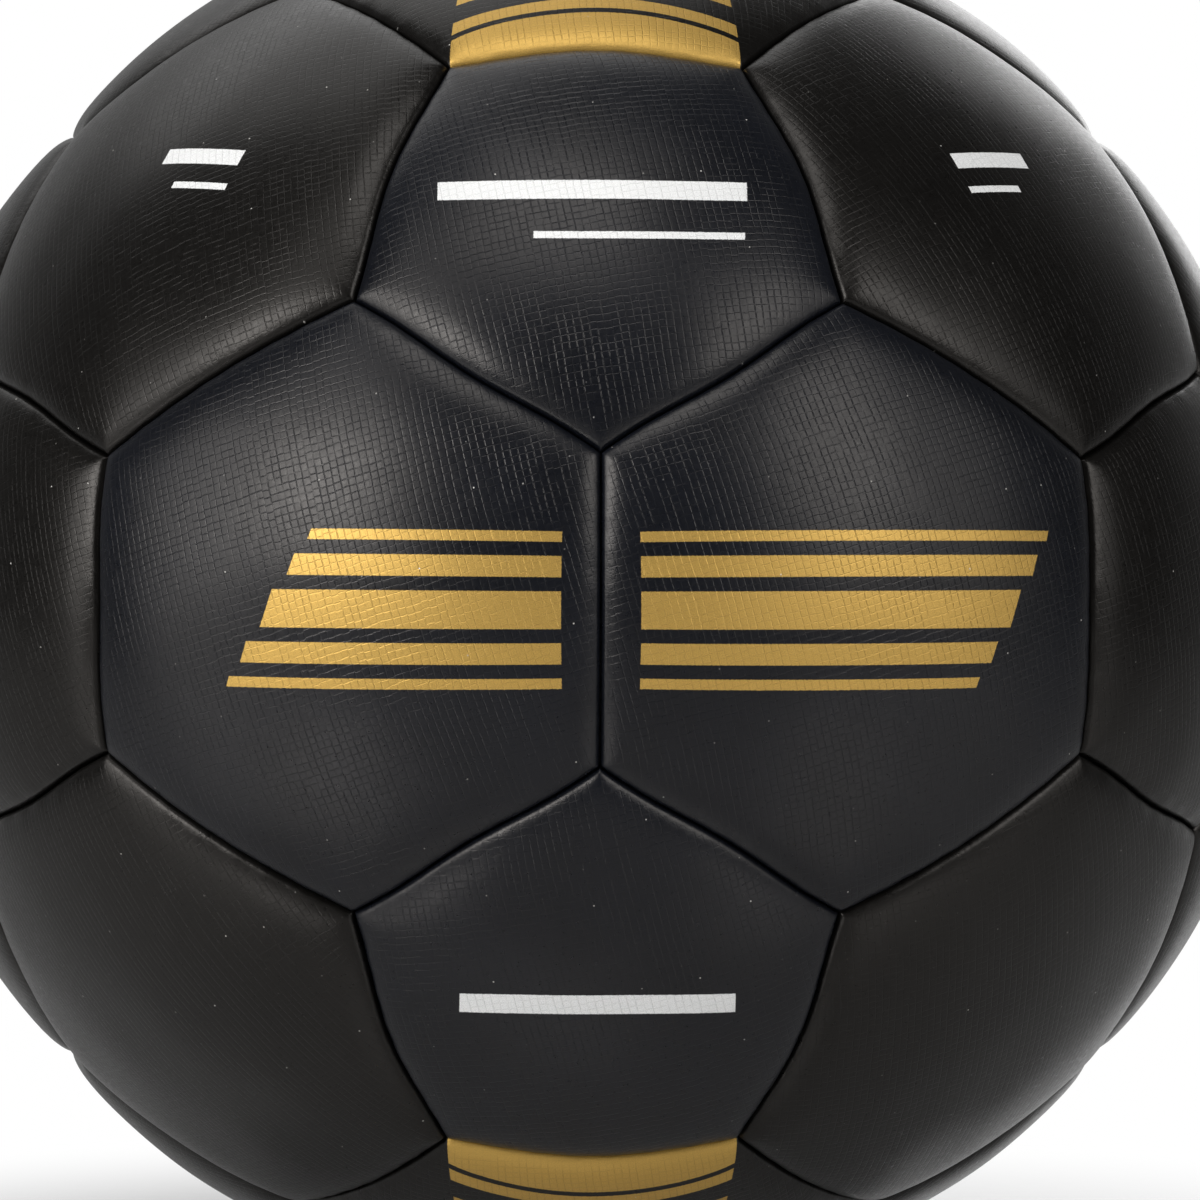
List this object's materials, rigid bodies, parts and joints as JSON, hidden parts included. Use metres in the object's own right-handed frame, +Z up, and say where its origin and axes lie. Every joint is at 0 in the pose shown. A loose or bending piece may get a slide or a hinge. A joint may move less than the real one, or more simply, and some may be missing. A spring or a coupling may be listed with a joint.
{
  "type": "handball",
  "caption": "Stitched black handball with padded pentagon and hexagon panels, gold stripes, an air bladder and a rubber needle valve.",
  "frame": {"origin": "middle of the ball", "axes": "+Z up; -Y faces the viewer, with the seam between the two front hexagons upright at -Y; +X to the viewer's right"},
  "size_m": [0.1864, 0.1864, 0.1864],
  "materials": {
    "skin_belt": "embossed synthetic leather, cool black",
    "skin_side": "embossed synthetic leather, warm black",
    "foam": "fine open-cell foam",
    "lining": "layered polyester-cotton cloth",
    "seam_thread": "waxed polyester thread",
    "bladder_rubber": "butyl rubber, satin",
    "patch_rubber": "butyl rubber, matt",
    "valve_rubber": "moulded butyl rubber",
    "plug_rubber": "soft natural rubber"
  },
  "bodies": {
    "ball": {"front_upper_pentagon": "skin_belt", "front_lower_pentagon": "skin_belt", "back_upper_pentagon": "skin_belt", "back_lower_pentagon": "skin_belt", "top_left_pentagon": "skin_side", "top_right_pentagon": "skin_side", "bottom_left_pentagon": "skin_side", "bottom_right_pentagon": "skin_side", "left_front_pentagon": "skin_side", "left_back_pentagon": "skin_side", "right_front_pentagon": "skin_side", "right_back_pentagon": "skin_side", "front_left_hexagon": "skin_belt", "front_right_hexagon": "skin_belt", "back_left_hexagon": "skin_belt", "back_right_hexagon": "skin_belt", "top_front_hexagon": "skin_side", "top_back_hexagon": "skin_side", "bottom_front_hexagon": "skin_side", "bottom_back_hexagon": "skin_side", "left_upper_hexagon": "skin_side", "left_lower_hexagon": "skin_side", "right_upper_hexagon": "skin_side", "right_lower_hexagon": "skin_side", "front_left_upper_hexagon": "skin_side", "front_left_lower_hexagon": "skin_side", "front_right_upper_hexagon": "skin_side", "front_right_lower_hexagon": "skin_side", "back_left_upper_hexagon": "skin_side", "back_left_lower_hexagon": "skin_side", "back_right_upper_hexagon": "skin_side", "back_right_lower_hexagon": "skin_side", "pentagon_foam_pads": "foam", "hexagon_foam_pads": "foam", "pentagon_linings": "lining", "hexagon_linings": "lining", "hexagon_seam_threads": "seam_thread", "pentagon_seam_threads": "seam_thread", "bladder": "bladder_rubber", "valve_patch": "patch_rubber", "valve_housing": "valve_rubber"},
    "plug": {"valve_plug": "plug_rubber"}
  },
  "joints": [
    {"name": "valve_plug_pull", "type": "slide", "parent": "ball", "child": "plug", "axis": [-0.5774, 0.5774, 0.5774], "range_m": [0, 0.024]}
  ]
}
